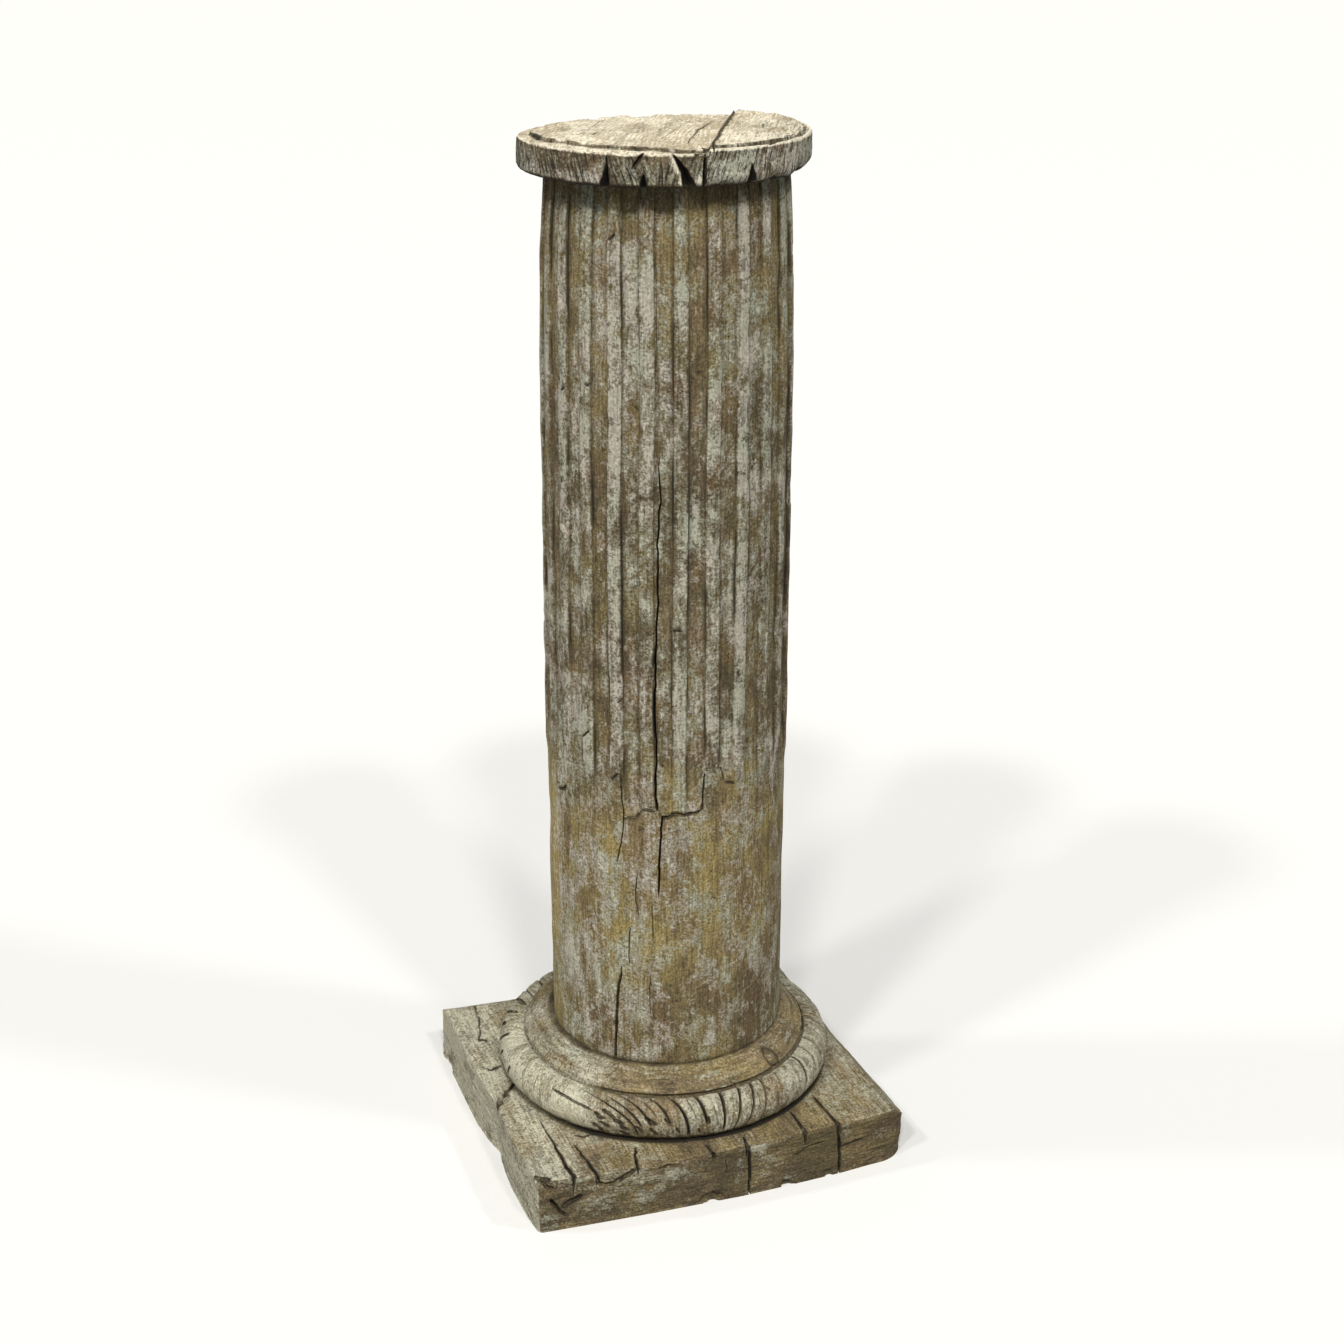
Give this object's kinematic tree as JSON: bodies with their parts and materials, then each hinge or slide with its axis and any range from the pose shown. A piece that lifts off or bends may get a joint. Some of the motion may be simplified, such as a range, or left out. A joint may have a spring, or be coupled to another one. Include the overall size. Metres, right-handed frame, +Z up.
{
  "type": "wooden column",
  "caption": "Weathered whitewashed wooden display column with a square plinth, a carved base moulding, a fluted shaft and a cracked round cap.",
  "frame": {"origin": "centre of the shaft's axis on the plinth's underside, on the surface that the column stands on", "axes": "+Z up along the shaft, -Y to the plinth's front, which the picture shows, and +X to the right seen from the front"},
  "size_m": [0.4148, 0.3829, 1.0575],
  "materials": {
    "plinth_wood": "weathered wood with worn whitewash, matt",
    "moulding_wood": "weathered wood with worn whitewash, matt",
    "shaft_wood": "weathered brown wood with worn grey-green whitewash, matt",
    "cap_wood": "pale worn top and darker end grain, matt"
  },
  "bodies": {
    "root": {"plinth": "plinth_wood", "base_moulding": "moulding_wood", "shaft": "shaft_wood", "cap": "cap_wood"}
  },
  "joints": []
}
